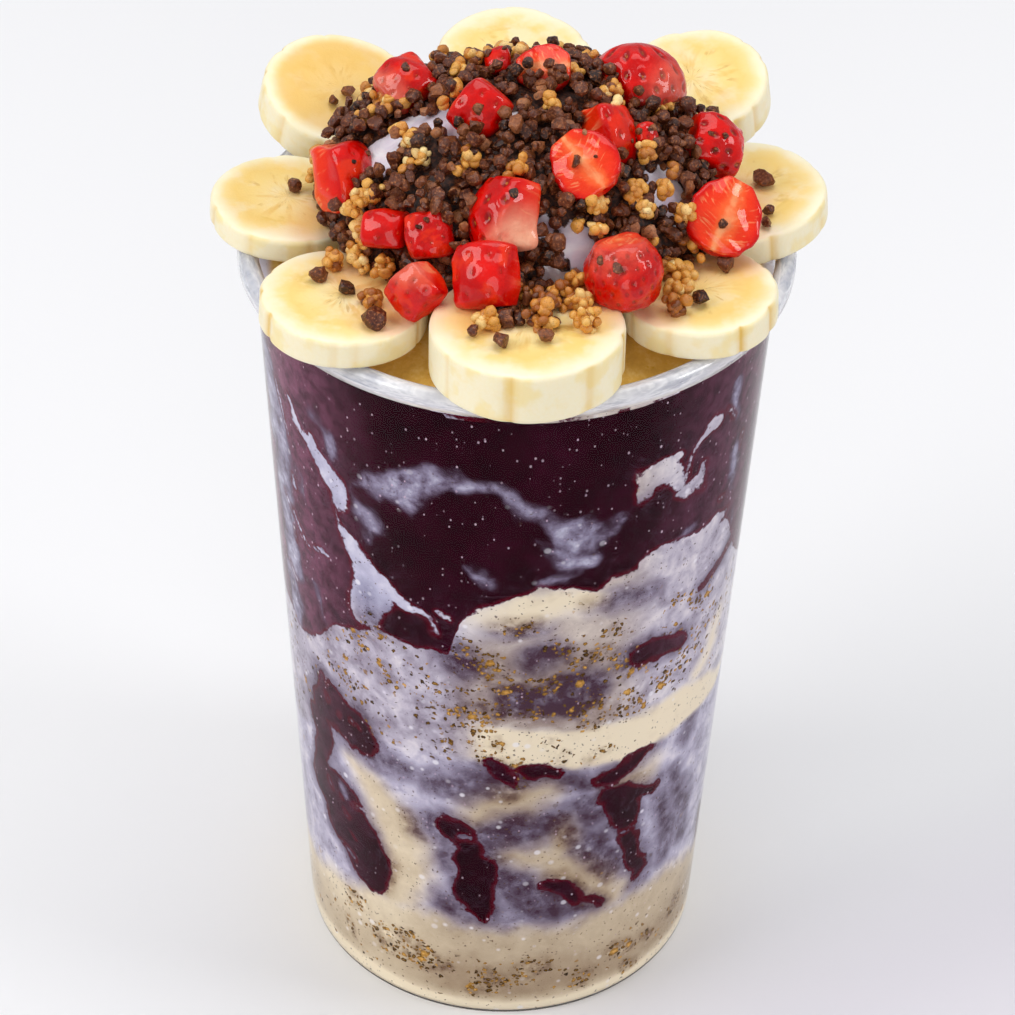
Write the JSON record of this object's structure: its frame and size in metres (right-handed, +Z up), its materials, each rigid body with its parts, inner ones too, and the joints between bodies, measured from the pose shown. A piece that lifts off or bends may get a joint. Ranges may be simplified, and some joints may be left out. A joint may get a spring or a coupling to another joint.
{
  "type": "acai bowl",
  "caption": "Layered acai and cream dessert in a tall clear plastic cup, topped with banana slices, strawberry pieces, chocolate bits and granola clusters.",
  "frame": {"origin": "middle of the cup's foot, on the table", "axes": "+Z up along the cup's axis, the front is -Y, +X to the right seen from the front"},
  "size_m": [0.1083, 0.1139, 0.1906],
  "materials": {
    "clear_plastic": "clear gloss",
    "cream": "moist frozen cream",
    "marbled_acai": "cream swirled with acai",
    "acai": "moist frozen acai",
    "mound_cream": "glossy melting cream under dark toppings",
    "banana": "moist cut fruit",
    "strawberry": "glossy berry",
    "chocolate": "dark chocolate bits",
    "granola": "baked golden crumbs"
  },
  "bodies": {
    "root": {"cup": "clear_plastic", "cream_base_layer": "cream", "marbled_lower_layer": "marbled_acai", "cream_granola_layer": "cream", "acai_upper_layer": "acai", "banana_front": "banana", "banana_front_right": "banana", "banana_right": "banana", "banana_back_right": "banana", "banana_back": "banana", "banana_back_left": "banana", "banana_left": "banana", "banana_front_left": "banana", "strawberry_1": "strawberry", "strawberry_2": "strawberry", "strawberry_3": "strawberry", "strawberry_4": "strawberry", "strawberry_5": "strawberry", "strawberry_6": "strawberry", "strawberry_7": "strawberry", "strawberry_8": "strawberry", "strawberry_9": "strawberry", "strawberry_10": "strawberry", "strawberry_11": "strawberry", "strawberry_12": "strawberry", "strawberry_13": "strawberry", "strawberry_14": "strawberry", "strawberry_15": "strawberry", "strawberry_16": "strawberry", "strawberry_17": "strawberry", "cream_mound": "mound_cream"}
  },
  "joints": []
}
